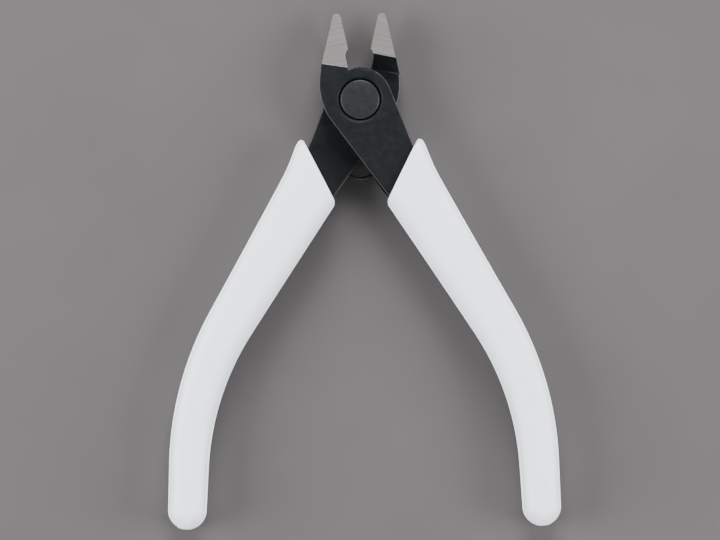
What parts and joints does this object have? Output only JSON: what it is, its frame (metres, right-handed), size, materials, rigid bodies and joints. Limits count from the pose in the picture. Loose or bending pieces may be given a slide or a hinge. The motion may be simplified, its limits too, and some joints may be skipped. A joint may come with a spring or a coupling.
{
  "type": "sprue nippers",
  "caption": "Small lap-jointed side cutter for trimming model sprues, with pointed ground jaws, a torsion return spring and bowed moulded grips.",
  "frame": {"origin": "centre of the flat back end of the pivot pin, on the pivot's axis", "axes": "+Z along the pivot's axis to the pin's head, +Y to the blade tips along the middle of the open tool, +X to the right grip as seen from the pin's head"},
  "size_m": [0.0888, 0.1161, 0.0105],
  "materials": {
    "lever_steel": "blackened forged steel with a fine matt texture, and bright ground steel on the jaws",
    "pin_steel": "blackened turned steel, satin",
    "spring_steel": "dark oiled spring wire",
    "grip_plastic": "cool white moulded plastic, satin"
  },
  "bodies": {
    "back_half": {"back_lever": "lever_steel", "left_grip": "grip_plastic", "pivot_pin": "pin_steel", "pivot_nut": "pin_steel", "return_spring_coil": "spring_steel"},
    "front_half": {"front_lever": "lever_steel", "right_grip": "grip_plastic"},
    "spring_leg": {"return_spring_arm": "spring_steel"}
  },
  "joints": [
    {"name": "jaw_pivot", "type": "hinge", "parent": "back_half", "child": "front_half", "pos_m": [0, 0, 0.004], "axis": [0, 0, -1], "range_deg": [0, 25], "stiffness_Nm_per_rad": 0.3, "springref_deg": -20.05},
    {"name": "spring_wind", "type": "hinge", "parent": "back_half", "child": "spring_leg", "pos_m": [0, -0.0137, 0.002], "axis": [0, 0, -1], "range_deg": [0, 80]}
  ],
  "couplings": [
    {"joint": "spring_wind", "follows": "jaw_pivot", "ratio": 3.176}
  ]
}
